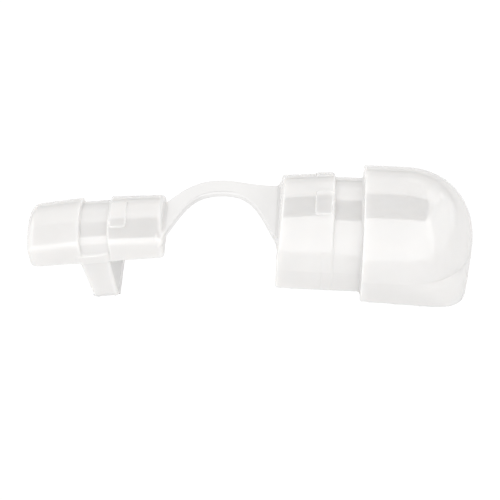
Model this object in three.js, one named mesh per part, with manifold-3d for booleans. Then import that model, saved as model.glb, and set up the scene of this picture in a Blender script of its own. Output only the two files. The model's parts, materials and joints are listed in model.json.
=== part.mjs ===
// Right-angle cord strain-relief bushing, shown unfolded on a flat surface.
// Millimetres, +Z up. The hood half lies on the +X side, the clamp half on the -X side, and a thin
// living strap joins them. Folding the strap by half a turn brings the clamp half under the hood half.
import * as THREE from 'three';
import { mergeVertices } from 'three/addons/utils/BufferGeometryUtils.js';
import { ConvexGeometry } from 'three/addons/geometries/ConvexGeometry.js';
import Module from 'manifold-3d';

const wasm = await Module();
wasm.setup();

// ---- driving dimensions -------------------------------------------------------------------------
// Both halves share one folded frame: x = 0 is the middle of the strap, z = 0 the cord's centre line.
const GROOVE_RADIUS = 6.3;
const GROOVE_START = 12.2;
const GROOVE_END = 15.4;
const SEAM = 0.02;
const CUT_EXTRA = 1;

// Hood half: a shank that enters the panel hole, and a domed elbow hood outside the panel.
const REAR_X = 6.4;
const REAR_HALF_WIDTH = 6.25;
const REAR_HEIGHT = 6.28;
const SHOULDER_HALF_WIDTH = 6.36;
const SHOULDER_HEIGHT = 6.86;
const SHOULDER_LAND = 0.5;
const SHANK_WALL = 1.3;
const HOOD_RADIUS = 7.72;
const HOOD_WALL = 1.1;
const FLANGE_THICKNESS = 1.1;
const DOME_CENTRE_X = 19.6;
const DOME_LENGTH = 7.9;
const RIM_Z = -3.1;
const RIM_NOSE_Z = -3.65;
const SHANK_RIM_Z = -2.9;
const WALL_LEAN = 0.38;
const SKIRT_DRAFT = 0.5;
const DOME_SQUARENESS = 2.2;
const RIM_SQUARENESS = 5.0;

// Ribs inside the hood half.
const RIB_THICKNESS = 0.8;
const RIB_HEIGHT = 0.8;
const RIB_HALF_WIDTH = 2.6;
const RIB_POSITIONS = [8.2, 10.4];
const SADDLE_X = 18.0;
const SADDLE_HEIGHT = 1.1;
const GUSSET_THICKNESS = 0.9;

// Strap: flat in plan, bowed round the cord's way, thin enough to bend.
const STRAP_Z = 2.2;
const STRAP_THICKNESS = 0.7;
const HINGE_X = 3.4;
const HINGE_GAP = 0.06;
const REST_SPLAY = 8.8;
const ROOT_HALF_WIDTH = 5.0;
const TONGUE_HALF_WIDTH = 4.05;
const CLAMP_ROOT_OUTER = 2.1;
const CLAMP_ROOT_INNER = -3.7;
const STRAP_OUTER_CROWN = [-0.6, 5.84];
const HOOD_LEG_PULL = [2.04, 4.75];
const HOOD_LEG_CROWN_PULL = 3.01;
const CLAMP_LEG_PULL = [-5.01, 4.00];
const CLAMP_LEG_CROWN_PULL = 2.34;
const STRAP_INNER_CROWN = [-0.2, 3.66];
const HOOD_BOW_PULL = [4.24, -0.21];
const HOOD_BOW_CROWN_PULL = 3.80;
const CLAMP_BOW_PULL = [-4.21, 1.45];
const CLAMP_BOW_CROWN_PULL = 3.02;

// Clamp half: an arch that closes the open side of the shank, with a wedge finger that grips the cord.
const CLAMP_DROP = 4.6;
const CLAMP_REAR_X = -6.35;
const CLAMP_NOSE_X = -21.3;
const CLAMP_HALF_WIDTH = 4.0;
const CLAMP_WALL = 1.1;
const CLAMP_RIM_Z = 2.4;
const CLAMP_SHOULDER_RADIUS = 6.45;
const CLAMP_REAR_RADIUS = 6.15;
const CLAMP_COLLAR_RADIUS = 6.15;
const CLAMP_REAR_ROUND = 0.5;
const CLAMP_REAR_DROP = 0.15;
const CLAMP_REAR_NARROWING = 0.1;
const HEAD_RADIUS = 6.54;
const NOSE_RADIUS = 6.22;
const NOSE_ROUND = 1.0;
const NOSE_ROUND_STEPS = 5;
const WEB_THICKNESS = 0.7;
const WEB_RISE = 0.3;
const WEB_GAP = 0.08;
const FINGER_TOP = [-15.6, -12.45];
const FINGER_TIP = [-14.9, -12.3];
const FINGER_BEVEL = 0.2;
const FINGER_TIP_Z = -2.7;
const FINGER_CHAMFER = 0.2;
const FINGER_CHAMFER_HEIGHT = 0.5;
const TOOTH_HEIGHT = 0.15;
const TOOTH_WIDTH = 0.7;
const TOOTH_INSET = 0.05;

// Blank raised pads on the outside: where along the shank, and how far round from the top towards -Y.
const PAD_HEIGHT = 0.14;
const PAD_LENGTH = 1.8;
const SHANK_PAD_X = 10.2;
const SHANK_PAD_ARCS = [[-42, -20], [6, 31]];
const CLAMP_PAD_X = -12.0;
const CLAMP_PAD_ARC = [-12, 22];

// Outside of the shank barrel, as stations of [x, half width, height].
const SHANK_STATIONS = [
  [REAR_X, REAR_HALF_WIDTH, REAR_HEIGHT],
  [GROOVE_START - SHOULDER_LAND, SHOULDER_HALF_WIDTH, SHOULDER_HEIGHT],
  [GROOVE_START - SEAM, SHOULDER_HALF_WIDTH, SHOULDER_HEIGHT],
];

const ARC_STEPS = 26;
const DOME_STEPS = 9;
const PLAN_STEPS = 22;
const STRAP_CURVE_STEPS = 10;

// ---- materials ----------------------------------------------------------------------------------
function nylon(name, colour) {
  const material = new THREE.MeshStandardMaterial({ color: colour, roughness: 0.28, metalness: 0 });
  material.name = name;
  return material;
}

const naturalNylon = nylon('natural_nylon', 0xf3f1ec);
const strapNylon = nylon('strap_nylon', 0xf1efe9);

// ---- solids -------------------------------------------------------------------------------------
function solidFrom(geometry) {
  const bare = geometry.clone();
  bare.deleteAttribute('normal');
  bare.deleteAttribute('uv');
  const merged = mergeVertices(bare, 1e-5);
  return new wasm.Manifold(new wasm.Mesh({
    numProp: 3,
    vertProperties: new Float32Array(merged.attributes.position.array),
    triVerts: new Uint32Array(merged.index.array),
  }));
}

function geometryFrom(solid) {
  const mesh = solid.getMesh();
  const geometry = new THREE.BufferGeometry();
  geometry.setAttribute('position', new THREE.BufferAttribute(mesh.vertProperties, 3));
  geometry.setIndex(new THREE.BufferAttribute(mesh.triVerts, 1));
  geometry.computeVertexNormals();
  return geometry;
}

function hull(points) {
  return solidFrom(new ConvexGeometry(points));
}

function block(low, high) {
  const size = high.map((value, axis) => value - low[axis]);
  const geometry = new THREE.BoxGeometry(...size);
  geometry.translate(...high.map((value, axis) => (value + low[axis]) / 2));
  return solidFrom(geometry);
}

function plate(shape, bottom, thickness) {
  const options = { depth: thickness, bevelEnabled: false, curveSegments: STRAP_CURVE_STEPS };
  const geometry = new THREE.ExtrudeGeometry(shape, options);
  geometry.translate(0, 0, bottom);
  return solidFrom(geometry);
}

function part(name, solid, material = naturalNylon) {
  const mesh = new THREE.Mesh(geometryFrom(solid), material);
  mesh.name = name;
  return mesh;
}

// ---- hood half sections -------------------------------------------------------------------------
// An arch over the cord: a half ellipse above z = 0, and walls that lean in a little down to `bottom`.
// A station is [x, half width, height].
function archOutline([x, halfWidth, height], bottom) {
  const points = [];
  for (let step = 0; step <= ARC_STEPS; step += 1) {
    const angle = Math.PI * step / ARC_STEPS;
    points.push(new THREE.Vector3(x, halfWidth * Math.cos(angle), height * Math.sin(angle)));
  }
  const foot = halfWidth - WALL_LEAN * bottom / RIM_Z;
  points.push(new THREE.Vector3(x, foot, bottom), new THREE.Vector3(x, -foot, bottom));
  return points;
}

function archTunnel(stations, bottom) {
  return hull(stations.flatMap((station) => archOutline(station, bottom)));
}

// The same station with the outline moved outward by `amount`, at a new x where one is given.
function grown([x, halfWidth, height], amount, newX = x) {
  return [newX, halfWidth + amount, height + amount];
}

function archShell(stations, wall) {
  const first = stations[0];
  const last = stations[stations.length - 1];
  const bore = [
    grown(first, -wall, first[0] - CUT_EXTRA),
    grown(last, -wall, last[0] + CUT_EXTRA),
  ];
  return archTunnel(stations, SHANK_RIM_Z).subtract(archTunnel(bore, 2 * RIM_Z));
}

// ---- elbow hood ---------------------------------------------------------------------------------
function domeSolid(startX, radius, length) {
  const points = [];
  for (let turn = 0; turn <= ARC_STEPS; turn += 1) {
    const angle = Math.PI * turn / ARC_STEPS;
    const across = Math.cos(angle);
    const up = Math.sin(angle);
    points.push(new THREE.Vector3(startX, radius * across, radius * up));
    for (let step = 0; step < DOME_STEPS; step += 1) {
      const slope = Math.PI / 2 * step / DOME_STEPS;
      const reach = DOME_CENTRE_X + length * Math.sin(slope) ** (2 / DOME_SQUARENESS);
      const ring = radius * Math.cos(slope) ** (2 / DOME_SQUARENESS);
      points.push(new THREE.Vector3(reach, ring * across, ring * up));
    }
  }
  points.push(new THREE.Vector3(DOME_CENTRE_X + length, 0, 0));
  return hull(points);
}

// Outline of the skirt that runs from height z at the groove to noseZ at its far end: straight sides from
// startX, then a rounded end of given squareness.
function skirtPlan(startX, z, noseZ, halfWidth, length, squareness) {
  const level = (x) => z + (noseZ - z) * (x - GROOVE_END) / (DOME_CENTRE_X + length - GROOVE_END);
  const startZ = level(startX);
  const points = [
    new THREE.Vector3(startX, halfWidth, startZ),
    new THREE.Vector3(startX, -halfWidth, startZ),
  ];
  for (let step = 0; step <= PLAN_STEPS; step += 1) {
    const angle = Math.PI * (step / PLAN_STEPS - 0.5);
    const along = Math.abs(Math.cos(angle)) ** (2 / squareness);
    const across = Math.sign(Math.sin(angle)) * Math.abs(Math.sin(angle)) ** (2 / squareness);
    const x = DOME_CENTRE_X + length * along;
    points.push(new THREE.Vector3(x, halfWidth * across, level(x)));
  }
  return points;
}

function skirtSolid(startX, inset, top, drop) {
  const equator = skirtPlan(startX, top, top, HOOD_RADIUS - inset, DOME_LENGTH - inset, DOME_SQUARENESS);
  const rim = skirtPlan(
    startX, RIM_Z - drop, RIM_NOSE_Z - drop,
    HOOD_RADIUS - WALL_LEAN - inset, DOME_LENGTH - SKIRT_DRAFT - inset, RIM_SQUARENESS,
  );
  return hull([...equator, ...rim]);
}

function hoodDome(startX) {
  const outside = domeSolid(startX, HOOD_RADIUS, DOME_LENGTH);
  const inside = domeSolid(startX - CUT_EXTRA, HOOD_RADIUS - HOOD_WALL, DOME_LENGTH - HOOD_WALL);
  const below = block(
    [startX - 2 * CUT_EXTRA, -HOOD_RADIUS, -CUT_EXTRA],
    [DOME_CENTRE_X + DOME_LENGTH, HOOD_RADIUS, SEAM],
  );
  return outside.subtract(inside).subtract(below);
}

function hoodSkirt(startX) {
  const outside = skirtSolid(startX, 0, -SEAM, 0);
  const inside = skirtSolid(startX - CUT_EXTRA, HOOD_WALL, CUT_EXTRA, CUT_EXTRA);
  return outside.subtract(inside);
}

function hoodFlange(startX, endX) {
  const outside = archTunnel([[startX, HOOD_RADIUS, HOOD_RADIUS], [endX, HOOD_RADIUS, HOOD_RADIUS]], RIM_Z);
  const bore = GROOVE_RADIUS + SEAM;
  const ends = [startX - CUT_EXTRA, endX + CUT_EXTRA];
  return outside.subtract(archTunnel(ends.map((x) => [x, bore, bore]), 2 * RIM_Z));
}

// ---- features of the cord's way and of the outside ----------------------------------------------
// A low rib across a ceiling of the given height.
function ceilingRib(x, ceiling, drop) {
  const top = ceiling - 2 * SEAM;
  const end = x + RIB_THICKNESS;
  const under = top - drop;
  const outer = archTunnel([[x, top, top], [end, top, top]], 0);
  const inner = archTunnel([[x - CUT_EXTRA, under, under], [end + CUT_EXTRA, under, under]], 0);
  const width = block([x - CUT_EXTRA, -RIB_HALF_WIDTH, CUT_EXTRA], [end + CUT_EXTRA, RIB_HALF_WIDTH, top]);
  return outer.subtract(inner).intersect(width);
}

// The web that closes the shank's rear end above the strap and carries the strap's root.
function strapGusset() {
  const start = grown(SHANK_STATIONS[0], -SHANK_WALL - SEAM);
  const end = [start[0] + GUSSET_THICKNESS, start[1], start[2]];
  const floor = STRAP_Z + STRAP_THICKNESS / 2 + SEAM;
  const above = block(
    [REAR_X - CUT_EXTRA, -HOOD_RADIUS, floor],
    [end[0] + CUT_EXTRA, HOOD_RADIUS, HOOD_RADIUS],
  );
  return archTunnel([start, end], SHANK_RIM_Z).intersect(above);
}

// A wedge of space from x to x + PAD_LENGTH between two directions, in degrees from the top towards -Y.
function padWedge(x, [fromSide, toSide]) {
  const points = [];
  for (const end of [x, x + PAD_LENGTH]) {
    points.push(new THREE.Vector3(end, 0, 0));
    for (const side of [fromSide, (fromSide + toSide) / 2, toSide]) {
      const angle = THREE.MathUtils.degToRad(side);
      const reach = 2 * HOOD_RADIUS;
      points.push(new THREE.Vector3(end, -reach * Math.sin(angle), reach * Math.cos(angle)));
    }
  }
  return hull(points);
}

function shankPad(arc) {
  const skin = (amount) => archTunnel(SHANK_STATIONS.map((station) => grown(station, amount)), SHANK_RIM_Z);
  return skin(PAD_HEIGHT).subtract(skin(SEAM)).intersect(padWedge(SHANK_PAD_X, arc));
}

function clampPad() {
  const skin = (amount) => clampSolid([
    [-GROOVE_START, CLAMP_SHOULDER_RADIUS + amount, CLAMP_HALF_WIDTH],
    [CLAMP_REAR_X, CLAMP_REAR_RADIUS + amount, CLAMP_HALF_WIDTH],
  ], CLAMP_RIM_Z);
  return skin(PAD_HEIGHT).subtract(skin(SEAM)).intersect(padWedge(CLAMP_PAD_X, CLAMP_PAD_ARC));
}

// ---- strap --------------------------------------------------------------------------------------
// Plan of the strap: an inner edge and an outer edge, each drawn through its crown from one half's corner to
// the other's, and a tongue that enters the shank.
function strapPlan() {
  const shape = new THREE.Shape();
  const hoodX = REAR_X - SEAM;
  const clampX = CLAMP_REAR_X + SEAM;
  shape.moveTo(hoodX, -TONGUE_HALF_WIDTH);
  shape.lineTo(REAR_X + GUSSET_THICKNESS, -TONGUE_HALF_WIDTH);
  shape.lineTo(REAR_X + GUSSET_THICKNESS, TONGUE_HALF_WIDTH);
  shape.lineTo(hoodX, TONGUE_HALF_WIDTH);
  shape.lineTo(hoodX, ROOT_HALF_WIDTH);
  const [crownX, crownY] = STRAP_OUTER_CROWN;
  shape.bezierCurveTo(...HOOD_LEG_PULL, crownX + HOOD_LEG_CROWN_PULL, crownY, crownX, crownY);
  shape.bezierCurveTo(crownX - CLAMP_LEG_CROWN_PULL, crownY, ...CLAMP_LEG_PULL, clampX, CLAMP_ROOT_OUTER);
  shape.lineTo(clampX, CLAMP_ROOT_INNER);
  const [bowX, bowY] = STRAP_INNER_CROWN;
  shape.bezierCurveTo(...CLAMP_BOW_PULL, bowX - CLAMP_BOW_CROWN_PULL, bowY, bowX, bowY);
  shape.bezierCurveTo(bowX + HOOD_BOW_CROWN_PULL, bowY, ...HOOD_BOW_PULL, hoodX, -ROOT_HALF_WIDTH);
  shape.closePath();
  return shape;
}

// The strap between two places along it. An end that meets a hinge line stops just short of it above the
// strap's middle and is cut back at 45 degrees below, so that the strap can fold downward by a right angle.
function strapSlice(lowX, highX, lowHinged, highHinged) {
  const top = STRAP_Z + STRAP_THICKNESS;
  const bottom = STRAP_Z - STRAP_THICKNESS;
  const outline = [];
  for (const [x, hinged, inward] of [[lowX, lowHinged, 1], [highX, highHinged, -1]]) {
    const end = hinged ? x + inward * HINGE_GAP : x;
    const foot = hinged ? end + inward * STRAP_THICKNESS : x;
    outline.push([end, top], [end, STRAP_Z], [foot, bottom]);
  }
  const span = hull(outline.flatMap(([x, z]) => [
    new THREE.Vector3(x, -HOOD_RADIUS, z),
    new THREE.Vector3(x, HOOD_RADIUS, z),
  ]));
  return plate(strapPlan(), STRAP_Z - STRAP_THICKNESS / 2, STRAP_THICKNESS).intersect(span);
}

// A group turned about a hinge line, whose contents keep the coordinates of the flat strap.
function hingedGroup(x) {
  const pivot = new THREE.Group();
  pivot.position.set(x, 0, STRAP_Z);
  pivot.rotation.y = -THREE.MathUtils.degToRad(REST_SPLAY / 2);
  const contents = new THREE.Group();
  contents.position.set(-x, 0, -STRAP_Z);
  pivot.add(contents);
  return { pivot, contents };
}

// ---- clamp half ---------------------------------------------------------------------------------
// Section of the clamp: the top slice of a circle, as wide as the gap between the shank's walls.
function clampOutline(x, radius, halfWidth, bottom) {
  const points = [];
  const half = Math.asin(halfWidth / radius);
  for (let step = 0; step <= ARC_STEPS / 2; step += 1) {
    const angle = half * (4 * step / ARC_STEPS - 1);
    points.push(new THREE.Vector3(x, radius * Math.sin(angle), radius * Math.cos(angle)));
  }
  points.push(new THREE.Vector3(x, halfWidth, bottom), new THREE.Vector3(x, -halfWidth, bottom));
  return points;
}

function clampSolid(stations, bottom) {
  return hull(stations.flatMap(([x, radius, halfWidth]) => clampOutline(x, radius, halfWidth, bottom)));
}

function clampBarrel() {
  const outside = clampSolid([
    [CLAMP_REAR_X, CLAMP_REAR_RADIUS - CLAMP_REAR_DROP, CLAMP_HALF_WIDTH - CLAMP_REAR_NARROWING],
    [CLAMP_REAR_X - CLAMP_REAR_ROUND, CLAMP_REAR_RADIUS, CLAMP_HALF_WIDTH],
    [-GROOVE_START + SEAM, CLAMP_SHOULDER_RADIUS, CLAMP_HALF_WIDTH],
  ], CLAMP_RIM_Z);
  const hollow = clampSolid([
    [CLAMP_REAR_X - CLAMP_WALL, CLAMP_REAR_RADIUS - CLAMP_WALL, CLAMP_HALF_WIDTH - CLAMP_WALL],
    [-GROOVE_START - CUT_EXTRA, CLAMP_SHOULDER_RADIUS - CLAMP_WALL, CLAMP_HALF_WIDTH - CLAMP_WALL],
  ], CLAMP_RIM_Z - CUT_EXTRA);
  return outside.subtract(hollow);
}

function clampCollar() {
  return clampSolid([
    [-GROOVE_START, CLAMP_COLLAR_RADIUS, CLAMP_HALF_WIDTH],
    [-GROOVE_END, CLAMP_COLLAR_RADIUS, CLAMP_HALF_WIDTH],
  ], CLAMP_RIM_Z);
}

function clampHead() {
  const start = -GROOVE_END - SEAM;
  const stations = [[start, HEAD_RADIUS, CLAMP_HALF_WIDTH]];
  for (let step = 0; step <= NOSE_ROUND_STEPS; step += 1) {
    const angle = Math.PI / 2 * step / NOSE_ROUND_STEPS;
    const inset = NOSE_ROUND * (1 - Math.cos(angle));
    const x = CLAMP_NOSE_X + NOSE_ROUND * (1 - Math.sin(angle));
    stations.push([x, NOSE_RADIUS - inset, CLAMP_HALF_WIDTH - inset]);
  }
  const hollow = clampSolid([
    [start + CUT_EXTRA, HEAD_RADIUS - CLAMP_WALL, CLAMP_HALF_WIDTH - CLAMP_WALL],
    [CLAMP_NOSE_X + CLAMP_WALL, NOSE_RADIUS - CLAMP_WALL, CLAMP_HALF_WIDTH - CLAMP_WALL],
  ], CLAMP_RIM_Z - CUT_EXTRA);
  return clampSolid(stations, CLAMP_RIM_Z).subtract(hollow);
}

// The finger's upright edges on the strap's side are bevelled.
function gripFinger() {
  const top = CLAMP_RIM_Z - SEAM;
  const chamferTop = FINGER_TIP_Z + FINGER_CHAMFER_HEIGHT;
  const taper = (top - chamferTop) / (top - FINGER_TIP_Z);
  const levels = [
    [top, 0, CLAMP_HALF_WIDTH],
    [chamferTop, taper, CLAMP_HALF_WIDTH],
    [FINGER_TIP_Z, 1, CLAMP_HALF_WIDTH - FINGER_CHAMFER],
  ];
  const points = [];
  for (const [z, blend, halfWidth] of levels) {
    const [lowX, highX] = FINGER_TOP.map((x, side) => THREE.MathUtils.lerp(x, FINGER_TIP[side], blend));
    const inner = CLAMP_HALF_WIDTH - FINGER_BEVEL;
    for (const y of [-halfWidth, halfWidth]) {
      points.push(new THREE.Vector3(lowX, y, z));
      points.push(new THREE.Vector3(highX - FINGER_BEVEL, y, z));
      points.push(new THREE.Vector3(highX, Math.sign(y) * Math.min(inner, halfWidth), z));
    }
  }
  return hull(points);
}

// A ridge across the finger's tip that bites into the cord's jacket.
function gripTooth(x) {
  const halfWidth = CLAMP_HALF_WIDTH - FINGER_CHAMFER - TOOTH_INSET;
  const base = FINGER_TIP_Z - SEAM;
  const points = [];
  for (const y of [-halfWidth, halfWidth]) {
    points.push(new THREE.Vector3(x - TOOTH_WIDTH / 2, y, base));
    points.push(new THREE.Vector3(x + TOOTH_WIDTH / 2, y, base));
    points.push(new THREE.Vector3(x, y, base - TOOTH_HEIGHT));
  }
  return hull(points);
}

// A stiffening web inside the clamp's hollow, along its length.
function clampWeb(lowX, highX, radius) {
  const ceiling = radius - CLAMP_WALL - WEB_GAP;
  return block([lowX, -WEB_THICKNESS / 2, CLAMP_RIM_Z + WEB_RISE], [highX, WEB_THICKNESS / 2, ceiling]);
}

// ---- hood half assembly -------------------------------------------------------------------------
const hoodStart = GROOVE_END + FLANGE_THICKNESS;
const hoodHalf = new THREE.Group();
hoodHalf.add(part('hood_dome', hoodDome(hoodStart + SEAM)));
hoodHalf.add(part('hood_skirt', hoodSkirt(hoodStart + SEAM)));
hoodHalf.add(part('hood_flange', hoodFlange(GROOVE_END, hoodStart)));
hoodHalf.add(part('shank_collar', archShell([
  [GROOVE_START, GROOVE_RADIUS, GROOVE_RADIUS],
  [hoodStart, GROOVE_RADIUS, GROOVE_RADIUS],
], SHANK_WALL)));
hoodHalf.add(part('shank_barrel', archShell(SHANK_STATIONS, SHANK_WALL)));
hoodHalf.add(part('strap_gusset', strapGusset()));
hoodHalf.add(part('hood_saddle', ceilingRib(SADDLE_X, HOOD_RADIUS - HOOD_WALL, SADDLE_HEIGHT)));
RIB_POSITIONS.forEach((x, index) => {
  hoodHalf.add(part(`shank_rib_${index + 1}`, ceilingRib(x, REAR_HEIGHT - SHANK_WALL, RIB_HEIGHT)));
});
SHANK_PAD_ARCS.forEach((arc, index) => {
  hoodHalf.add(part(`shank_pad_${index + 1}`, shankPad(arc)));
});
const tongueEnd = REAR_X + GUSSET_THICKNESS + CUT_EXTRA;
hoodHalf.add(part('strap_root_hood', strapSlice(HINGE_X, tongueEnd, true, false), strapNylon));

// ---- strap and clamp half assembly --------------------------------------------------------------
const strapHinge = hingedGroup(HINGE_X);
hoodHalf.add(strapHinge.pivot);
strapHinge.contents.add(part('strap_bow', strapSlice(-HINGE_X, HINGE_X, true, true), strapNylon));

const clampHinge = hingedGroup(-HINGE_X);
strapHinge.contents.add(clampHinge.pivot);
const clampRoot = strapSlice(CLAMP_REAR_X - CUT_EXTRA, -HINGE_X, false, true);
clampHinge.contents.add(part('strap_root_clamp', clampRoot, strapNylon));

const clampHalf = new THREE.Group();
clampHalf.position.z = STRAP_Z - CLAMP_DROP;
clampHalf.add(part('clamp_barrel', clampBarrel()));
clampHalf.add(part('clamp_collar', clampCollar()));
clampHalf.add(part('clamp_head', clampHead()));
clampHalf.add(part('clamp_pad', clampPad()));
clampHalf.add(part('grip_finger', gripFinger()));
FINGER_TIP.forEach((x, index) => {
  const inward = index === 0 ? TOOTH_WIDTH / 2 : -TOOTH_WIDTH / 2;
  clampHalf.add(part(`grip_tooth_${index + 1}`, gripTooth(x + inward)));
});
const rearWeb = clampWeb(-GROOVE_START + WEB_GAP, CLAMP_REAR_X - CLAMP_WALL - WEB_GAP, CLAMP_REAR_RADIUS);
const headWeb = clampWeb(CLAMP_NOSE_X + CLAMP_WALL + WEB_GAP, -GROOVE_END - WEB_GAP, NOSE_RADIUS);
clampHalf.add(part('clamp_rear_web', rearWeb));
clampHalf.add(part('clamp_head_web', headWeb));
clampHinge.contents.add(clampHalf);

// ---- standing on a surface ----------------------------------------------------------------------
// The part rests on the far edge of the hood's rim and on the finger's tip, so the hood half is pitched.
const bushing = new THREE.Group();
bushing.add(hoodHalf);
bushing.updateMatrixWorld(true);

const toothTip = new THREE.Vector3(FINGER_TIP[0] + TOOTH_WIDTH / 2, 0, FINGER_TIP_Z - SEAM - TOOTH_HEIGHT);
const tip = clampHalf.localToWorld(toothTip);
const rimX = DOME_CENTRE_X + DOME_LENGTH - SKIRT_DRAFT;
hoodHalf.rotation.y = Math.atan2(RIM_NOSE_Z - tip.z, rimX - tip.x);
bushing.updateMatrixWorld(true);

const extent = new THREE.Box3().setFromObject(bushing, true);
const middle = extent.getCenter(new THREE.Vector3());
bushing.position.set(-middle.x, -middle.y, -extent.min.z);

export default bushing;
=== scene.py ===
import json
import math

import bpy
import numpy as np
from mathutils import Matrix, Vector


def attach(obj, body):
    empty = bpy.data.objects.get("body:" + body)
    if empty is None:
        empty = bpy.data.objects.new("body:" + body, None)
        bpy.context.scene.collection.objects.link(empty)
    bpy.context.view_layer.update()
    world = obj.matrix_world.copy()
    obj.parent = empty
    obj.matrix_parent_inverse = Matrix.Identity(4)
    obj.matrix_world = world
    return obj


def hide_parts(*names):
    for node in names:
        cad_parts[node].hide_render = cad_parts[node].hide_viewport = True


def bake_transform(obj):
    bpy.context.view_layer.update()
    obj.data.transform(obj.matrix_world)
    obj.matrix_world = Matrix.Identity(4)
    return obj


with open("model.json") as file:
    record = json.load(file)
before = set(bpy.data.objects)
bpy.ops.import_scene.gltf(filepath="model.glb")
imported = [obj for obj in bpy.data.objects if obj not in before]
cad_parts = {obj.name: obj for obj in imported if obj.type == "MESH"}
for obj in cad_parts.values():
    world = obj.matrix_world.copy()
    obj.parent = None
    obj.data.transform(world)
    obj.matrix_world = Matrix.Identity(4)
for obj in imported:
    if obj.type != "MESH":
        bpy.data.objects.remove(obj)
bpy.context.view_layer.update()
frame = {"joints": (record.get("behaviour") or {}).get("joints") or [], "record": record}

# A right-angle cord strain-relief bushing of natural nylon, lying open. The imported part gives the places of
# its two halves and of the strap's two bends. Each half is rebuilt here as one continuous moulding, from a
# distance field in millimetres that is turned into a fine mesh. The strap is a band swept along x.

MM = 0.001

# ---- dimensions of the moulding, in millimetres ---------------------------------------------------
# x runs along the moulding from the middle of the strap, as if it lay flat. Each half has its own z.
# Hood half: a grooved shank that enters the panel hole, and a domed hood outside the panel. The cord's
# centre line is y = z = 0.
GROOVE_RADIUS = 6.3
GROOVE_START = 12.2
GROOVE_END = 15.4
SEAT_HEIGHT = 7.0

REAR_X = 6.4
REAR_LEAN = (-0.2, 0.25)
REAR_LEAN_START_Z = 1
REAR_HALF_WIDTH = 6.25
REAR_HEIGHT = 6.28
SHOULDER_HALF_WIDTH = 6.36
SHOULDER_HEIGHT = 6.86
SHOULDER_LAND = 0.5
SHANK_WALL = 1.3
SHANK_RIM_Z = -2.9
HOOD_RADIUS = 7.72
HOOD_WALL = 1.1
HOOD_START = 16.5
DOME_CENTRE_X = 19.6
DOME_LENGTH = 7.9
RIM_Z = -3.1
RIM_NOSE_Z = -3.65
WALL_LEAN = 0.38
SKIRT_DRAFT = 0.5
DOME_SQUARENESS = 2.2
RIM_SQUARENESS = 5.0
REAR_EDGE = 0.22
SHOULDER_EDGE = 0.12
FLANGE_EDGE = 0.14
RIM_EDGE = 0.16
GROOVE_FILLET = 0.15
FLANGE_FILLET = 0.35

# Ribs inside the hood half.
RIB_POSITIONS = (8.2, 10.4)
RIB_THICKNESS = 0.8
RIB_HEIGHT = 0.8
RIB_HALF_WIDTH = 2.6
RIB_LOWEST_Z = 1
SADDLE_X = 18.0
SADDLE_HEIGHT = 1.1
GUSSET_THICKNESS = 0.9
GUSSET_INSET = 0.02
INNER_FILLET = 0.25

# Strap: each edge is two curves that meet at its crown. A pull is a control point of one of them, and a
# crown pull is a control point's distance from the crown along x.
STRAP_Z = 2.2
STRAP_THICKNESS = 0.7
STRAP_TOP_CORNER = 0.3
STRAP_CORNER = 0.16
STRAP_FILLET = 0.5
STUB_REACH = 0.7
STUB_INSET = 0.01
ROOT_OVERLAP = 0.6
HINGE_X = 3.4
BEND_REACH = 2.2
REST_SPLAY = 8.8
ROOT_HALF_WIDTH = 5.0
CLAMP_ROOT_OUTER = 2.1
CLAMP_ROOT_INNER = -3.7
STRAP_OUTER_CROWN = (-0.6, 5.84)
HOOD_LEG_PULL = (2.04, 4.75)
HOOD_LEG_CROWN_PULL = 3.01
CLAMP_LEG_PULL = (-5.01, 4.00)
CLAMP_LEG_CROWN_PULL = 2.34
STRAP_INNER_CROWN = (-0.2, 3.66)
HOOD_BOW_PULL = (4.24, -0.21)
HOOD_BOW_CROWN_PULL = 3.80
CLAMP_BOW_PULL = (-4.21, 1.45)
CLAMP_BOW_CROWN_PULL = 3.02

# Clamp half: y = z = 0 is the axis of its rounds, which lies CLAMP_DROP below the strap's middle.
CLAMP_DROP = 4.6
CLAMP_REAR_X = -6.35
CLAMP_NOSE_X = -21.3
CLAMP_HALF_WIDTH = 4.0
CLAMP_WALL = 1.1
CLAMP_RIM_Z = 2.4
CLAMP_SHOULDER_RADIUS = 6.45
CLAMP_REAR_RADIUS = 6.15
CLAMP_COLLAR_RADIUS = 6.15
CLAMP_COLLAR_OVERRUN = 0.5
HEAD_RADIUS = 6.54
NOSE_RADIUS = 6.22
NOSE_ROUND = 1.0
CLAMP_SIDE_EDGE = 0.4
CLAMP_REAR_EDGE = 0.45
COLLAR_TOP_HALF_WIDTH = 3.2
WEB_THICKNESS = 0.7
WEB_RISE = 0.3
WEB_INSET = 1
FINGER_TOP = (-15.6, -12.45)
FINGER_TIP = (-14.9, -12.3)
FINGER_BEVEL = 0.2
FINGER_TIP_Z = -2.7
FINGER_CHAMFER = 0.2
FINGER_CHAMFER_HEIGHT = 0.5
FINGER_EDGE = 0.1
TOOTH_HEIGHT = 0.15
TOOTH_WIDTH = 0.7
TOOTH_ROOT = 0.2
TOOTH_INSET = 0.05

# Blank raised pads: middle along x, and directions in degrees from the top towards -y.
PAD_HEIGHT = 0.14
PAD_LENGTH = 1.8
PAD_CORNER = 0.3
PAD_ROOT = 3 * PAD_HEIGHT
SHANK_PAD_X = 11.1
SHANK_PAD_ARCS = ((-42, -20), (6, 31))
CLAMP_PAD_X = -11.1
CLAMP_PAD_ARC = (-12, 22)

# How far a piece of a field runs into its neighbour.
OVERRUN = 1

# Mesh sizes, and the free space that the grid leaves round a field's surface.
MESH_CELL = 0.13
MARGIN = 0.4
STRAP_STEP = 0.09
CORNER_STEPS = 5


# ---- places of the bodies -------------------------------------------------------------------------
joints = {joint["name"]: joint for joint in frame["joints"]}
seat = frame["record"]["mounts"][0]
pitch = math.atan2(seat["axis"][2], -seat["axis"][0])


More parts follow.
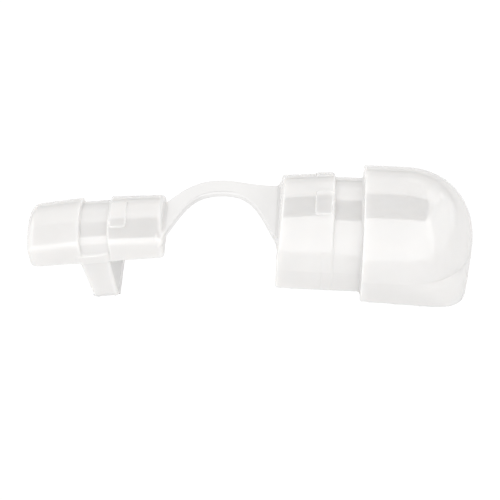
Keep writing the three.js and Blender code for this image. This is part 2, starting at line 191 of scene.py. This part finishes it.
def placed(angle, local_point, world_point):
    """The matrix that turns by `angle` about Y and takes a local point in mm to a world point in metres."""
    turn = Matrix.Rotation(angle, 4, "Y")
    shift = Vector(world_point) - turn @ (Vector(local_point) * MM)
    return Matrix.Translation(shift) @ turn


half_splay = math.radians(REST_SPLAY / 2)
hood_place = placed(pitch, (GROOVE_END, 0, SEAT_HEIGHT), seat["pos_m"])
strap_place = placed(pitch - half_splay, (HINGE_X, 0, STRAP_Z), joints["strap_bend_hood"]["pos_m"])
clamp_hinge = joints["strap_bend_clamp"]["pos_m"]
root_place = placed(pitch - 2 * half_splay, (-HINGE_X, 0, STRAP_Z), clamp_hinge)
clamp_place = placed(pitch - 2 * half_splay, (-HINGE_X, 0, CLAMP_DROP), clamp_hinge)


# ---- the strap's plan -----------------------------------------------------------------------------
def bezier(points, steps=60):
    t = np.linspace(0, 1, steps)[:, None]
    a, b, c, d = (np.array(p, float) for p in points)
    return (1 - t) ** 3 * a + 3 * t * (1 - t) ** 2 * b + 3 * t**2 * (1 - t) * c + t**3 * d


def strap_edge(clamp_root, clamp_pull, clamp_reach, crown, hood_reach, hood_pull, hood_root):
    """An edge from the clamp half through its crown to the hood half, as (x, y) points in order of x."""
    crown = np.array(crown)
    clamp_side = bezier([(CLAMP_REAR_X, clamp_root), clamp_pull, crown - (clamp_reach, 0), crown])
    hood_side = bezier([crown, crown + (hood_reach, 0), hood_pull, (REAR_X, hood_root)])
    return np.concatenate([clamp_side[:-1], hood_side])


inner_edge = strap_edge(
    CLAMP_ROOT_INNER, CLAMP_BOW_PULL, CLAMP_BOW_CROWN_PULL, STRAP_INNER_CROWN,
    HOOD_BOW_CROWN_PULL, HOOD_BOW_PULL, -ROOT_HALF_WIDTH,
)
outer_edge = strap_edge(
    CLAMP_ROOT_OUTER, CLAMP_LEG_PULL, CLAMP_LEG_CROWN_PULL, STRAP_OUTER_CROWN,
    HOOD_LEG_CROWN_PULL, HOOD_LEG_PULL, ROOT_HALF_WIDTH,
)


# ---- distance fields ------------------------------------------------------------------------------
def both(a, b, radius):
    """The part inside both fields, with the edge between them rounded."""
    corner = np.hypot(np.maximum(a + radius, 0), np.maximum(b + radius, 0))
    return np.minimum(np.maximum(a, b), -radius) + corner


def either(a, b, radius):
    """The part inside one field or the other, with a fillet where they meet."""
    return -both(-a, -b, radius)


def between(x, low, high):
    return np.maximum(low - x, x - high)


def ellipse(y, z, half_width, height):
    reach = np.hypot(y / half_width, z / height)
    slope = np.hypot(y / half_width**2, z / height**2)
    return reach * (reach - 1) / np.maximum(slope, 1e-6)


def arch(y, z, half_width, height):
    """A half ellipse over the cord's way, on walls that lean in a little as they go down."""
    wall = np.abs(y) - half_width - WALL_LEAN * z / -RIM_Z
    return np.where(z > 0, ellipse(y, z, half_width, height), wall)


def shank_sizes(x):
    share = np.clip((x - REAR_X) / (GROOVE_START - SHOULDER_LAND - REAR_X), 0, 1)
    half_width = REAR_HALF_WIDTH + (SHOULDER_HALF_WIDTH - REAR_HALF_WIDTH) * share
    height = REAR_HEIGHT + (SHOULDER_HEIGHT - REAR_HEIGHT) * share
    return half_width, height


def rim_level(x):
    """Height of the hood's rim, which falls evenly from the groove to the nose."""
    share = (x - GROOVE_END) / (DOME_CENTRE_X + DOME_LENGTH - SKIRT_DRAFT - GROOVE_END)
    return RIM_Z + (RIM_NOSE_Z - RIM_Z) * share


def squared_round(along, across, length, width, power):
    """A quarter ellipse made squarer by a power over 2, in a plane where both distances are positive."""
    along = np.maximum(along / length, 1e-4)
    across = np.maximum(across / width, 1e-4)
    reach = (along**power + across**power) ** (1 / power)
    slope = reach ** (1 - power) * np.hypot(along ** (power - 1) / length, across ** (power - 1) / width)
    return (reach - 1) / np.maximum(slope, 1e-3)


def elbow(x, y, z, inset):
    """The domed hood: a round dome over a skirt whose plan grows squarer towards the rim."""
    past = np.maximum(x - DOME_CENTRE_X, 0)
    dome = squared_round(past, np.hypot(y, z), DOME_LENGTH - inset, HOOD_RADIUS - inset, DOME_SQUARENESS)
    depth = np.clip(z / rim_level(x), 0, 1)
    length = DOME_LENGTH - SKIRT_DRAFT * depth - inset
    width = HOOD_RADIUS - WALL_LEAN * depth - inset
    power = DOME_SQUARENESS + (RIM_SQUARENESS - DOME_SQUARENESS) * depth
    return np.where(z > 0, dome, squared_round(past, np.abs(y), length, width, power))


def raised_pad(x, y, z, skin, middle_x, arc, radius):
    """A blank pad with rounded corners that stands PAD_HEIGHT proud of the given skin."""
    angle = np.degrees(np.arctan2(-y, z))
    middle = (arc[0] + arc[1]) / 2
    half_arc = math.radians(arc[1] - arc[0]) / 2 * radius
    across = np.abs(np.radians(angle - middle)) * radius - half_arc + PAD_CORNER
    along = np.abs(x - middle_x) - PAD_LENGTH / 2 + PAD_CORNER
    outline = np.hypot(np.maximum(across, 0), np.maximum(along, 0)) - PAD_CORNER
    return both(between(skin, -PAD_ROOT, PAD_HEIGHT), outline, PAD_HEIGHT / 2)


def ceiling_rib(x, y, z, low_x, ceiling, drop, cover):
    """A low rib across a round ceiling, whose outer end is buried in the wall under the given cover."""
    bar = between(x, low_x, low_x + RIB_THICKNESS)
    bar = both(bar, ceiling - drop - np.hypot(y, z), RIB_THICKNESS / 4)
    bar = both(bar, np.abs(y) - RIB_HALF_WIDTH, RIB_THICKNESS / 4)
    return np.maximum(np.maximum(bar, RIB_LOWEST_Z - z), cover + SHANK_WALL / 2)


def hood_field(x, y, z):
    """The hood half: its outside less the cord's way, then the strap's root, the ribs and the pads."""
    half_width, height = shank_sizes(x)
    skin = arch(y, z, half_width, height)
    rise = np.clip((z - REAR_LEAN_START_Z) / (REAR_HEIGHT - REAR_LEAN_START_Z), 0, 1)
    rear_x = REAR_X + REAR_LEAN[0] + (REAR_LEAN[1] - REAR_LEAN[0]) * rise
    barrel = both(both(skin, rear_x - x, REAR_EDGE), x - GROOVE_START, SHOULDER_EDGE)
    collar = arch(y, z, GROOVE_RADIUS, GROOVE_RADIUS)
    collar = np.maximum(collar, between(x, GROOVE_START - OVERRUN, GROOVE_END + OVERRUN))
    shank = np.maximum(either(barrel, collar, GROOVE_FILLET), SHANK_RIM_Z - z)
    hood = both(elbow(x, y, z, 0), GROOVE_END - x, FLANGE_EDGE)
    outside = either(shank, np.maximum(hood, rim_level(x) - z), FLANGE_FILLET)

    bore = arch(y, z, half_width - SHANK_WALL, height - SHANK_WALL)
    hollow = both(elbow(x, y, z, HOOD_WALL), HOOD_START - x, INNER_FILLET)
    way = either(np.maximum(bore, x - HOOD_START - OVERRUN), hollow, INNER_FILLET)
    shell = both(outside, -way, RIM_EDGE)

    gusset = between(x, rear_x + GUSSET_INSET, REAR_X + GUSSET_THICKNESS)
    gusset = both(gusset, STRAP_Z + STRAP_THICKNESS / 2 - z, STRAP_CORNER)
    shell = either(shell, np.maximum(gusset, skin + SHANK_WALL / 2), INNER_FILLET)
    stub = strap_stub(x, y, z, REAR_X - STUB_REACH, REAR_X + STUB_REACH, STRAP_Z)
    shell = either(shell, stub, STRAP_FILLET)
    for low_x in RIB_POSITIONS:
        rib = ceiling_rib(x, y, z, low_x, REAR_HEIGHT - SHANK_WALL, RIB_HEIGHT, skin)
        shell = either(shell, rib, INNER_FILLET / 2)
    cover = elbow(x, y, z, 0)
    saddle = ceiling_rib(x, y, z, SADDLE_X, HOOD_RADIUS - HOOD_WALL, SADDLE_HEIGHT, cover)
    shell = either(shell, saddle, INNER_FILLET / 2)
    for arc in SHANK_PAD_ARCS:
        pad = raised_pad(x, y, z, skin, SHANK_PAD_X, arc, SHOULDER_HEIGHT)
        shell = either(shell, pad, PAD_HEIGHT / 2)
    return shell


def strap_stub(x, y, z, low_x, high_x, middle_z):
    """A short length of the strap, a little inside it, for the fillet where it leaves a half."""
    low = np.interp(x, inner_edge[:, 0], inner_edge[:, 1]) + STUB_INSET
    high = np.interp(x, outer_edge[:, 0], outer_edge[:, 1]) - STUB_INSET
    slab = np.abs(z - middle_z) - STRAP_THICKNESS / 2 + STUB_INSET
    return np.maximum(both(between(y, low, high) / 2, slab, STRAP_CORNER), between(x, low_x, high_x))


def clamp_section(y, z, radius, half_width):
    """A round top between upright sides."""
    return both(np.hypot(y, z) - radius, np.abs(y) - half_width, CLAMP_SIDE_EDGE)


def grip_finger(x, y, z):
    """The wedge that presses on the cord, with a ridge along each end of its tip."""
    depth = np.clip((CLAMP_RIM_Z - z) / (CLAMP_RIM_Z - FINGER_TIP_Z), -0.5, 1)
    low_x = FINGER_TOP[0] + (FINGER_TIP[0] - FINGER_TOP[0]) * depth
    high_x = FINGER_TOP[1] + (FINGER_TIP[1] - FINGER_TOP[1]) * depth
    chamfer_top = FINGER_TIP_Z + FINGER_CHAMFER_HEIGHT
    narrowing = FINGER_CHAMFER * np.clip((chamfer_top - z) / FINGER_CHAMFER_HEIGHT, 0, 1)
    wedge = both(between(x, low_x, high_x), np.abs(y) - CLAMP_HALF_WIDTH + narrowing, FINGER_EDGE)
    bevel = (x - high_x + np.abs(y) - CLAMP_HALF_WIDTH + FINGER_BEVEL) / math.sqrt(2)
    wedge = both(wedge, bevel, FINGER_EDGE)
    wedge = both(wedge, between(z, FINGER_TIP_Z, CLAMP_RIM_Z + OVERRUN), FINGER_EDGE)
    tooth_flank = math.hypot(TOOTH_HEIGHT, TOOTH_WIDTH / 2)
    for tip_x, inward in zip(FINGER_TIP, (1, -1)):
        ridge_x = tip_x + inward * TOOTH_WIDTH / 2
        outside = np.abs(x - ridge_x) - TOOTH_WIDTH / 2 * (1 - (FINGER_TIP_Z - z) / TOOTH_HEIGHT)
        tooth = np.maximum(outside * TOOTH_HEIGHT / tooth_flank, z - FINGER_TIP_Z - TOOTH_ROOT)
        tooth = np.maximum(tooth, np.abs(y) - CLAMP_HALF_WIDTH + FINGER_CHAMFER + TOOTH_INSET)
        wedge = np.minimum(wedge, tooth)
    return wedge


def clamp_field(x, y, z):
    """The clamp half: its outside less two hollows, then the web, finger, strap's root and pad."""
    head_share = np.clip((x - CLAMP_NOSE_X) / (-GROOVE_END - CLAMP_NOSE_X), 0, 1)
    head_radius = NOSE_RADIUS + (HEAD_RADIUS - NOSE_RADIUS) * head_share
    head = clamp_section(y, z, head_radius, CLAMP_HALF_WIDTH)
    head = both(both(head, CLAMP_NOSE_X - x, NOSE_ROUND), x + GROOVE_END, SHOULDER_EDGE)
    rear_share = np.clip((x + GROOVE_START) / (CLAMP_REAR_X + GROOVE_START), 0, 1)
    barrel_radius = CLAMP_SHOULDER_RADIUS + (CLAMP_REAR_RADIUS - CLAMP_SHOULDER_RADIUS) * rear_share
    skin = clamp_section(y, z, barrel_radius, CLAMP_HALF_WIDTH)
    barrel = both(both(skin, x - CLAMP_REAR_X, CLAMP_REAR_EDGE), -GROOVE_START - x, SHOULDER_EDGE)
    spread = np.clip((CLAMP_COLLAR_RADIUS - z) / (CLAMP_COLLAR_RADIUS - CLAMP_RIM_Z), 0, 1)
    collar_width = COLLAR_TOP_HALF_WIDTH + (CLAMP_HALF_WIDTH - COLLAR_TOP_HALF_WIDTH) * spread
    collar = clamp_section(y, z, CLAMP_COLLAR_RADIUS, collar_width)
    collar_ends = between(x, -GROOVE_END - CLAMP_COLLAR_OVERRUN, -GROOVE_START + CLAMP_COLLAR_OVERRUN)
    collar = np.maximum(collar, collar_ends)
    outside = either(either(head, collar, GROOVE_FILLET), barrel, GROOVE_FILLET)
    outside = both(outside, CLAMP_RIM_Z - z, RIM_EDGE)

    inner = CLAMP_HALF_WIDTH - CLAMP_WALL
    head_hollow = clamp_section(y, z, head_radius - CLAMP_WALL, inner)
    head_hollow = both(head_hollow, between(x, CLAMP_NOSE_X + CLAMP_WALL, -GROOVE_END), INNER_FILLET)
    rear_hollow = clamp_section(y, z, barrel_radius - CLAMP_WALL, inner)
    rear_hollow = both(rear_hollow, between(x, -GROOVE_START, CLAMP_REAR_X - CLAMP_WALL), INNER_FILLET)
    shell = both(outside, -np.minimum(head_hollow, rear_hollow), RIM_EDGE)

    web = np.maximum(np.abs(y) - WEB_THICKNESS / 2, CLAMP_RIM_Z + WEB_RISE - z)
    web = np.maximum(web, between(x, CLAMP_NOSE_X + WEB_INSET, CLAMP_REAR_X - WEB_INSET))
    web = np.maximum(web, outside + CLAMP_WALL / 2)
    shell = either(shell, web, INNER_FILLET / 2)
    shell = either(shell, grip_finger(x, y, z), INNER_FILLET)
    stub = strap_stub(x, y, z, CLAMP_REAR_X - CLAMP_REAR_EDGE / 2, CLAMP_REAR_X + STUB_REACH, CLAMP_DROP)
    shell = either(shell, stub, STRAP_FILLET)
    pad = raised_pad(x, y, z, skin, CLAMP_PAD_X, CLAMP_PAD_ARC, CLAMP_SHOULDER_RADIUS)
    return either(shell, pad, PAD_HEIGHT / 2)


# ---- meshes from distance fields ------------------------------------------------------------------
SLOPE_STEP = MESH_CELL / 8
SETTLING_STEPS = 3
LONGEST_MOVE = 0.4 * MESH_CELL
FLATTEST_SLOPE = 0.05


def slopes(field, points):
    """The field's gradient at scattered points."""
    columns = []
    for axis in range(3):
        ahead, behind = points.copy(), points.copy()
        ahead[:, axis] += SLOPE_STEP
        behind[:, axis] -= SLOPE_STEP
        columns.append((field(*ahead.T) - field(*behind.T)) / (2 * SLOPE_STEP))
    return np.stack(columns, 1)


def net_points(values, cells):
    """One point in each cell that the surface crosses: the middle of its crossings, in grid steps."""
    total = np.zeros((len(cells), 3))
    hits = np.zeros(len(cells))
    for axis in range(3):
        unit = np.eye(3, dtype=int)[axis]
        others = [np.eye(3, dtype=int)[a] for a in range(3) if a != axis]
        for first in (0, 1):
            for second in (0, 1):
                start = first * others[0] + second * others[1]
                low = values[tuple((cells + start).T)]
                high = values[tuple((cells + start + unit).T)]
                crossing = (low < 0) != (high < 0)
                share = low[crossing] / (low[crossing] - high[crossing])
                total[crossing] += start + share[:, None] * unit
                hits[crossing] += 1
    return cells + total / hits[:, None]


def net_faces(inside, index):
    """A quad round each grid edge whose two ends lie on different sides of the surface."""
    quads = []
    for axis in range(3):
        u, v = (axis + 1) % 3, (axis + 2) % 3
        low = np.moveaxis(inside, (axis, u, v), (0, 1, 2))
        cells = np.moveaxis(index, (axis, u, v), (0, 1, 2))
        crossing = low[:-1] != low[1:]
        i, j, k = np.nonzero(crossing[:, 1:-1, 1:-1])
        j, k = j + 1, k + 1
        around = [cells[i, j - 1, k - 1], cells[i, j, k - 1], cells[i, j, k], cells[i, j - 1, k]]
        around = np.stack(around, 1)
        leaving = low[i, j, k]
        around[~leaving] = around[~leaving][:, ::-1]
        quads.append(around)
    return np.concatenate(quads)


def field_mesh(field, low, high):
    """Points, quads and normals of the surface where the field is zero, inside a box in millimetres.

    The surface is netted on a grid, and each point is then moved onto it along the field's slope."""
    counts = [int(math.ceil((b - a) / MESH_CELL)) + 1 for a, b in zip(low, high)]
    lines = [a + MESH_CELL * np.arange(n) for a, n in zip(low, counts)]
    values = field(*np.meshgrid(*lines, indexing="ij", sparse=True))
    values = np.broadcast_to(values, counts)
    inside = values < 0
    corners = sum(
        inside[i:counts[0] - 1 + i, j:counts[1] - 1 + j, k:counts[2] - 1 + k].astype(np.int8)
        for i in (0, 1) for j in (0, 1) for k in (0, 1)
    )
    active = (corners > 0) & (corners < 8)
    index = np.full(active.shape, -1)
    index[active] = np.arange(active.sum())
    points = np.array(low) + MESH_CELL * net_points(values, np.argwhere(active))
    for _ in range(SETTLING_STEPS):
        slope = slopes(field, points)
        size = np.maximum((slope**2).sum(1), FLATTEST_SLOPE)
        move = -(field(*points.T) / size)[:, None] * slope
        length = np.maximum(np.linalg.norm(move, axis=1), 1e-9)
        points += move * np.minimum(1, LONGEST_MOVE / length)[:, None]
    normals = slopes(field, points)
    normals /= np.maximum(np.linalg.norm(normals, axis=1), 1e-9)[:, None]
    return points, net_faces(inside, index), normals


def new_object(name, points, faces, normals, place, material):
    """A smooth-shaded object, from points in millimetres of a local frame at `place`."""
    mesh = bpy.data.meshes.new(name)
    turn = np.array(place.to_3x3())
    world = points @ turn.T * MM + np.array(place.translation)
    mesh.from_pydata(world.tolist(), [], faces.tolist())
    mesh.polygons.foreach_set("use_smooth", [True] * len(mesh.polygons))
    mesh.update()
    mesh.normals_split_custom_set_from_vertices((normals @ turn.T).tolist())
    thing = bpy.data.objects.new(name, mesh)
    bpy.context.scene.collection.objects.link(thing)
    thing.data.materials.append(material)
    return thing


# ---- strap ----------------------------------------------------------------------------------------
def strap_ring(x):
    """One cross-section of the strap in the flat frame: a rounded rectangle."""
    low = np.interp(x, inner_edge[:, 0], inner_edge[:, 1])
    high = np.interp(x, outer_edge[:, 0], outer_edge[:, 1])
    half = STRAP_THICKNESS / 2
    spots = []
    for edge, inward, up, radius, first in (
        (high, -1, 1, STRAP_TOP_CORNER, 0), (low, 1, 1, STRAP_TOP_CORNER, 90),
        (low, 1, -1, STRAP_CORNER, 180), (high, -1, -1, STRAP_CORNER, 270),
    ):
        y, z = edge + inward * radius, STRAP_Z + up * (half - radius)
        for angle in np.radians(np.linspace(first, first + 90, CORNER_STEPS)):
            spots.append((x, y + radius * math.cos(angle), z + radius * math.sin(angle)))
    return np.array(spots)


def strap_mesh(low_x, high_x):
    """Points and quads of the flat strap between two places along it, open at both ends."""
    stations = np.linspace(low_x, high_x, max(2, int(round((high_x - low_x) / STRAP_STEP)) + 1))
    rings = [strap_ring(x) for x in stations]
    points = np.concatenate(rings)
    size = len(rings[0])
    faces = []
    for row in range(len(stations) - 1):
        for column in range(size):
            after = (column + 1) % size
            faces.append([
                row * size + column, row * size + after,
                (row + 1) * size + after, (row + 1) * size + column,
            ])
    return points, np.array(faces)


def bent(points, hinge_x, start_x, end_x, angle):
    """Points turned about a bend line, by a share of the angle that grows from start_x to end_x."""
    share = np.clip((points[:, 0] - start_x) / (end_x - start_x), 0, 1)
    turn = angle * share * share * (3 - 2 * share)
    x, z = points[:, 0] - hinge_x, points[:, 2] - STRAP_Z
    turned_x = hinge_x + x * np.cos(turn) + z * np.sin(turn)
    turned_z = STRAP_Z - x * np.sin(turn) + z * np.cos(turn)
    return np.stack([turned_x, points[:, 1], turned_z], 1)


def skew_normals(points, faces):
    """Vertex normals of a quad mesh, from its faces."""
    a, b, c, d = (points[faces[:, i]] for i in range(4))
    flat = np.cross(c - a, d - b)
    total = np.zeros_like(points)
    for i in range(4):
        np.add.at(total, faces[:, i], flat)
    return total / np.maximum(np.linalg.norm(total, axis=1), 1e-12)[:, None]


# ---- materials ------------------------------------------------------------------------------------
CLOUD_SHADE = 0.965


def nylon(name, base, subsurface, glow):
    """Milky nylon. The glow stands in for light that comes through its thin walls."""
    material = bpy.data.materials.new(name)
    material.use_nodes = True
    tree = material.node_tree
    shader = tree.nodes["Principled BSDF"]
    shader.inputs["IOR"].default_value = 1.6
    shader.inputs["Specular IOR Level"].default_value = 1.0
    shader.inputs["Subsurface Weight"].default_value = subsurface
    shader.inputs["Subsurface Radius"].default_value = (1.0, 0.95, 0.9)
    shader.inputs["Subsurface Scale"].default_value = 0.0016
    shader.inputs["Emission Color"].default_value = (1, 1, 1, 1)
    shader.inputs["Emission Strength"].default_value = glow
    place = tree.nodes.new("ShaderNodeTexCoord")

    cloud = tree.nodes.new("ShaderNodeTexNoise")
    cloud.inputs["Scale"].default_value = 260.0
    cloud.inputs["Detail"].default_value = 3.0
    tree.links.new(place.outputs["Object"], cloud.inputs["Vector"])
    tint = tree.nodes.new("ShaderNodeValToRGB")
    tint.color_ramp.elements[0].position = 0.3
    tint.color_ramp.elements[0].color = (*(c * CLOUD_SHADE for c in base), 1)
    tint.color_ramp.elements[1].position = 0.7
    tint.color_ramp.elements[1].color = (*base, 1)
    tree.links.new(cloud.outputs["Fac"], tint.inputs["Fac"])
    tree.links.new(tint.outputs["Color"], shader.inputs["Base Color"])

    sheen = tree.nodes.new("ShaderNodeTexNoise")
    sheen.inputs["Scale"].default_value = 900.0
    sheen.inputs["Detail"].default_value = 4.0
    tree.links.new(place.outputs["Object"], sheen.inputs["Vector"])
    gloss = tree.nodes.new("ShaderNodeMapRange")
    gloss.inputs["To Min"].default_value = 0.06
    gloss.inputs["To Max"].default_value = 0.11
    tree.links.new(sheen.outputs["Fac"], gloss.inputs["Value"])
    tree.links.new(gloss.outputs["Result"], shader.inputs["Roughness"])

    grain = tree.nodes.new("ShaderNodeTexNoise")
    grain.inputs["Scale"].default_value = 2600.0
    grain.inputs["Detail"].default_value = 2.0
    tree.links.new(place.outputs["Object"], grain.inputs["Vector"])
    bump = tree.nodes.new("ShaderNodeBump")
    bump.inputs["Strength"].default_value = 0.06
    bump.inputs["Distance"].default_value = 0.00002
    tree.links.new(grain.outputs["Fac"], bump.inputs["Height"])
    tree.links.new(bump.outputs["Normal"], shader.inputs["Normal"])
    return material


# One nylon in two copies. The strap's copy has no subsurface scattering, a darker base and a stronger glow of
# painted light.
body_nylon = nylon("natural_nylon", (0.69, 0.685, 0.68), 1.0, 0.11)
strap_nylon = nylon("strap_nylon", (0.56, 0.555, 0.55), 0.0, 0.25)

# ---- the two halves -------------------------------------------------------------------------------
hood_shell = new_object(
    "hood_half_shell",
    *field_mesh(
        hood_field,
        (REAR_X - STUB_REACH - MARGIN, -HOOD_RADIUS - MARGIN, RIM_NOSE_Z - MARGIN),
        (DOME_CENTRE_X + DOME_LENGTH + MARGIN, HOOD_RADIUS + MARGIN, HOOD_RADIUS + MARGIN),
    ),
    hood_place, body_nylon,
)
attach(hood_shell, "hood_half")
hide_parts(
    "hood_dome", "hood_skirt", "hood_flange", "shank_collar", "shank_barrel", "strap_gusset",
    "hood_saddle", "shank_rib_1", "shank_rib_2", "shank_pad_1", "shank_pad_2",
)

clamp_shell = new_object(
    "clamp_half_shell",
    *field_mesh(
        clamp_field,
        (CLAMP_NOSE_X - MARGIN, -CLAMP_HALF_WIDTH - MARGIN, FINGER_TIP_Z - TOOTH_HEIGHT - MARGIN),
        (CLAMP_REAR_X + STUB_REACH + MARGIN, CLAMP_HALF_WIDTH + MARGIN, HEAD_RADIUS + MARGIN),
    ),
    clamp_place, body_nylon,
)
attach(clamp_shell, "clamp_half")
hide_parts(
    "clamp_barrel", "clamp_collar", "clamp_head", "clamp_pad", "grip_finger",
    "grip_tooth_1", "grip_tooth_2", "clamp_rear_web", "clamp_head_web",
)

# ---- the strap's pieces ---------------------------------------------------------------------------
hood_bend_start = HINGE_X + BEND_REACH
hood_bend_end = HINGE_X - BEND_REACH
clamp_bend_start = -HINGE_X + BEND_REACH
clamp_bend_end = -HINGE_X - BEND_REACH


def strap_piece(name, low_x, high_x, place, hinge_x=None, start_x=None, end_x=None):
    """A length of the strap. One that crosses a hinge is shaped to the bend it has at rest."""
    points, faces = strap_mesh(low_x, high_x)
    if hinge_x is not None:
        points = bent(points, hinge_x, start_x, end_x, -half_splay)
    piece = new_object(name, points, faces, skew_normals(points, faces), place, strap_nylon)
    return piece


root_hood = strap_piece("strap_root_on_hood", hood_bend_start, REAR_X + ROOT_OVERLAP, hood_place)
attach(root_hood, "hood_half")
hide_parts("strap_root_hood")

bend_hood = strap_piece(
    "strap_bend_by_hood", 0.0, hood_bend_start, hood_place, HINGE_X, hood_bend_start, hood_bend_end,
)
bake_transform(bend_hood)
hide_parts("strap_bow")

bend_clamp = strap_piece(
    "strap_bend_by_clamp", clamp_bend_end, 0.0, strap_place, -HINGE_X, clamp_bend_start, clamp_bend_end,
)
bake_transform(bend_clamp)

root_clamp = strap_piece("strap_root_on_clamp", CLAMP_REAR_X - ROOT_OVERLAP, clamp_bend_end, root_place)
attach(root_clamp, "clamp_half")
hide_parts("strap_root_clamp")


# ---- stage ----------------------------------------------------------------------------------------
# The part lies in a white light tent with a dark opening overhead. The camera sees the tent's base as plain
# white, and the part sees it as pale grey.
def stage_piece(name, spots, faces):
    mesh = bpy.data.meshes.new(name)
    mesh.from_pydata(spots, [], faces)
    thing = bpy.data.objects.new(name, mesh)
    bpy.context.scene.collection.objects.link(thing)
    return thing


def plane(name, low_x, low_y, high_x, high_y, height):
    corners = [(low_x, low_y), (high_x, low_y), (high_x, high_y), (low_x, high_y)]
    return stage_piece(name, [(x, y, height) for x, y in corners], [(0, 1, 2, 3)])


def plain_material(name, tone, glow):
    material = bpy.data.materials.new(name)
    material.use_nodes = True
    shader = material.node_tree.nodes["Principled BSDF"]
    shader.inputs["Base Color"].default_value = (tone, tone, tone, 1)
    shader.inputs["Roughness"].default_value = 0.9
    shader.inputs["Specular IOR Level"].default_value = 0.0
    shader.inputs["Emission Color"].default_value = (1, 1, 1, 1)
    shader.inputs["Emission Strength"].default_value = glow
    return material


def seen_by(thing, camera, light):
    """Whether the camera sees a piece of the stage, and whether light and reflections do."""
    thing.visible_camera = camera
    thing.visible_diffuse = light
    thing.visible_glossy = light
    thing.visible_transmission = light
    thing.visible_shadow = light


FLOOR_HALF = 3.0
FLOOR_DROP = 0.00002
FLOOR_TONE = 0.8
BACKDROP_GLOW = 1.05
floor = plane("floor", -FLOOR_HALF, -FLOOR_HALF, FLOOR_HALF, FLOOR_HALF, -FLOOR_DROP)
floor.data.materials.append(plain_material("pale_floor", FLOOR_TONE, 0.0))
seen_by(floor, False, True)
backdrop = plane("backdrop", -FLOOR_HALF, -FLOOR_HALF, FLOOR_HALF, FLOOR_HALF, -2 * FLOOR_DROP)
backdrop.data.materials.append(plain_material("white_backdrop", 0.0, BACKDROP_GLOW))
seen_by(backdrop, True, False)

# The tent's walls are dimmer low down, behind the part and at its sides.
WALL_RADIUS = 1.2
WALL_HEIGHT = 0.17
WALL_TURN = (-15, 195)
WALL_POSTS = 43
WALL_TONE = 0.5
wall_spots = [
    (WALL_RADIUS * math.cos(turn), WALL_RADIUS * math.sin(turn), height)
    for turn in np.radians(np.linspace(*WALL_TURN, WALL_POSTS)) for height in (0, WALL_HEIGHT)
]
wall_faces = [(i, i + 1, i + 3, i + 2) for i in range(0, len(wall_spots) - 3, 2)]
low_wall = stage_piece("low_wall", wall_spots, wall_faces)
low_wall.data.materials.append(plain_material("dim_wall", WALL_TONE, 0.0))
seen_by(low_wall, False, True)

# Its reflection is the dark band along the top of each half.
OPENING_LOW = (-0.118, -0.15)
OPENING_HIGH = (0.30, 0.165)
OPENING_HEIGHT = 0.4
OPENING_TONE = 0.02
opening = plane("opening", *OPENING_LOW, *OPENING_HIGH, OPENING_HEIGHT)
opening.data.materials.append(plain_material("dark_opening", OPENING_TONE, 0.0))
seen_by(opening, False, True)

world = bpy.data.worlds.new("tent")
world.use_nodes = True
world.node_tree.nodes["Background"].inputs["Color"].default_value = (1.0, 0.99, 0.98, 1)
world.node_tree.nodes["Background"].inputs["Strength"].default_value = 0.82
bpy.context.scene.world = world


SOFTBOX_DISTANCE = 0.6
SOFTBOX_AIM = Vector((0, 0, 0.006))


def softbox(name, azimuth, elevation, width, height, radiance, colour=(1, 1, 1)):
    """A rectangular light aimed at the part, given by its direction from it and its brightness."""
    data = bpy.data.lights.new(name, "AREA")
    data.shape = "RECTANGLE"
    data.size = width
    data.size_y = height
    data.energy = radiance * math.pi * width * height
    data.color = colour
    light = bpy.data.objects.new(name, data)
    a, e = math.radians(azimuth), math.radians(elevation)
    away = Vector((math.sin(a) * math.cos(e), -math.cos(a) * math.cos(e), math.sin(e)))
    light.location = SOFTBOX_AIM + away * SOFTBOX_DISTANCE
    light.rotation_euler = (-away).to_track_quat("-Z", "Y").to_euler()
    light.visible_camera = False
    bpy.context.scene.collection.objects.link(light)


softbox("front", azimuth=5, elevation=36, width=1.2, height=0.86, radiance=0.72)
softbox("back", azimuth=180, elevation=45, width=1.2, height=0.44, radiance=0.4, colour=(1.0, 0.98, 0.96))
softbox("right", azimuth=92, elevation=28, width=1.0, height=0.6, radiance=0.45)
softbox("left", azimuth=-88, elevation=28, width=1.0, height=0.6, radiance=0.5)

# ---- camera ---------------------------------------------------------------------------------------
CAMERA_ELEVATION = 41.11
CAMERA_AZIMUTH = 6.02
CAMERA_ROLL = -5.53
CAMERA_DISTANCE = 0.25
CAMERA_SHIFT = (-0.0002, -0.00183)
CAMERA_LENS = 164.1
CAMERA_NEAR = 0.01
TARGET = Vector((0, 0, 0.0055))

camera_data = bpy.data.cameras.new("camera")
camera_data.lens = CAMERA_LENS
camera_data.clip_start = CAMERA_NEAR
camera = bpy.data.objects.new("camera", camera_data)
e, a, roll = (math.radians(v) for v in (CAMERA_ELEVATION, CAMERA_AZIMUTH, CAMERA_ROLL))
spin = Matrix.Rotation(a, 3, "Z")
right = spin @ Vector((1, 0, 0))
up = spin @ Vector((0, math.sin(e), math.cos(e)))
ahead = spin @ Vector((0, math.cos(e), -math.sin(e)))
camera.location = TARGET + right * CAMERA_SHIFT[0] + up * CAMERA_SHIFT[1] - ahead * CAMERA_DISTANCE
tilted_right = right * math.cos(roll) + up * math.sin(roll)
tilted_up = up * math.cos(roll) - right * math.sin(roll)
camera.rotation_euler = Matrix((tilted_right, tilted_up, -ahead)).transposed().to_euler()
bpy.context.scene.collection.objects.link(camera)
bpy.context.scene.camera = camera

bpy.context.scene.view_settings.view_transform = "Standard"
